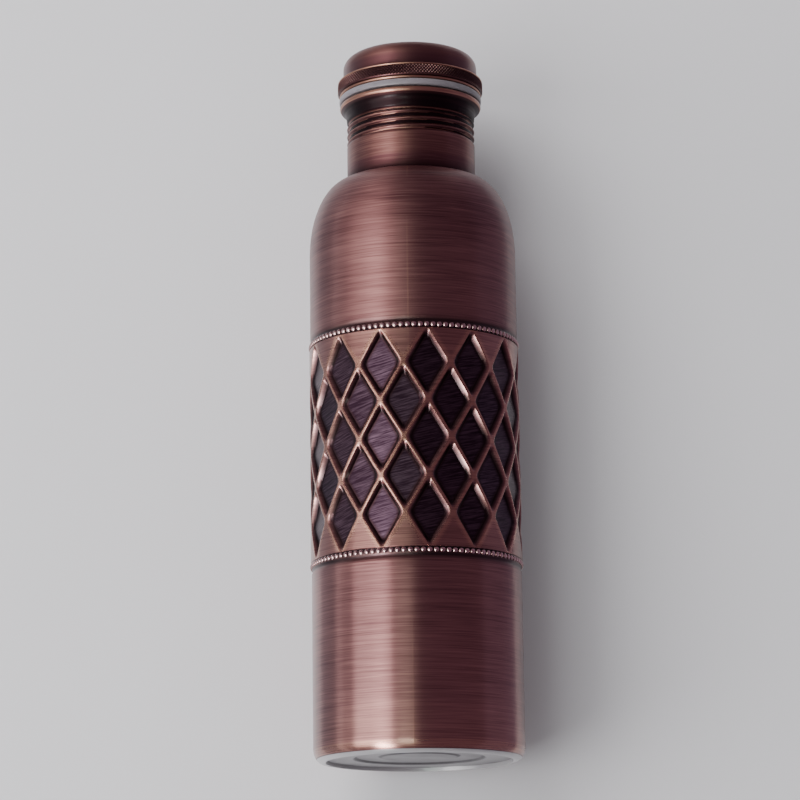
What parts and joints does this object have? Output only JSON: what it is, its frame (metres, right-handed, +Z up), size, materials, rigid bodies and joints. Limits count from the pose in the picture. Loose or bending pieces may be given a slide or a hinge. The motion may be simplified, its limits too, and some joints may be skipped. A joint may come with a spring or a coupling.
{
  "type": "copper water bottle with screw lid",
  "caption": "Upright cylindrical copper water bottle with an embossed diamond band between beaded rings, a short threaded neck and a knurled screw lid sealed by a silicone ring.",
  "frame": {"origin": "centre of the base ring, in the plane that the bottle stands on", "axes": "+Z up the bottle's axis towards the lid, -Y the front, +X to the right seen from the front"},
  "size_m": [0.0732, 0.0732, 0.2506],
  "materials": {
    "aged_copper": "antique oxidised copper, brushed round the axis, with rubbed brighter ridges",
    "dark_copper": "dark oxidised copper, satin",
    "rubbed_copper": "bright rubbed copper, satin",
    "base_metal": "bare pale metal, satin, neutral grey",
    "silicone": "translucent white silicone, matt"
  },
  "bodies": {
    "bottle": {"body_shell": "aged_copper", "base_disc": "base_metal", "neck_sleeve": "dark_copper"},
    "seal": {"gasket": "silicone"},
    "lid": {"lid_stem": "rubbed_copper", "grip_ring": "dark_copper", "lid_dome": "aged_copper"}
  },
  "joints": [
    {"name": "lid_rise", "type": "slide", "parent": "bottle", "child": "seal", "axis": [0, 0, 1], "range_m": [0, 0.019]},
    {"name": "lid_turn", "type": "hinge", "parent": "seal", "child": "lid", "pos_m": [0, 0, 0.2318], "axis": [0, 0, 1], "range_deg": [0, 2520]}
  ],
  "couplings": [
    {"joint": "lid_rise", "follows": "lid_turn", "m_per_rad": 0.00042972}
  ]
}
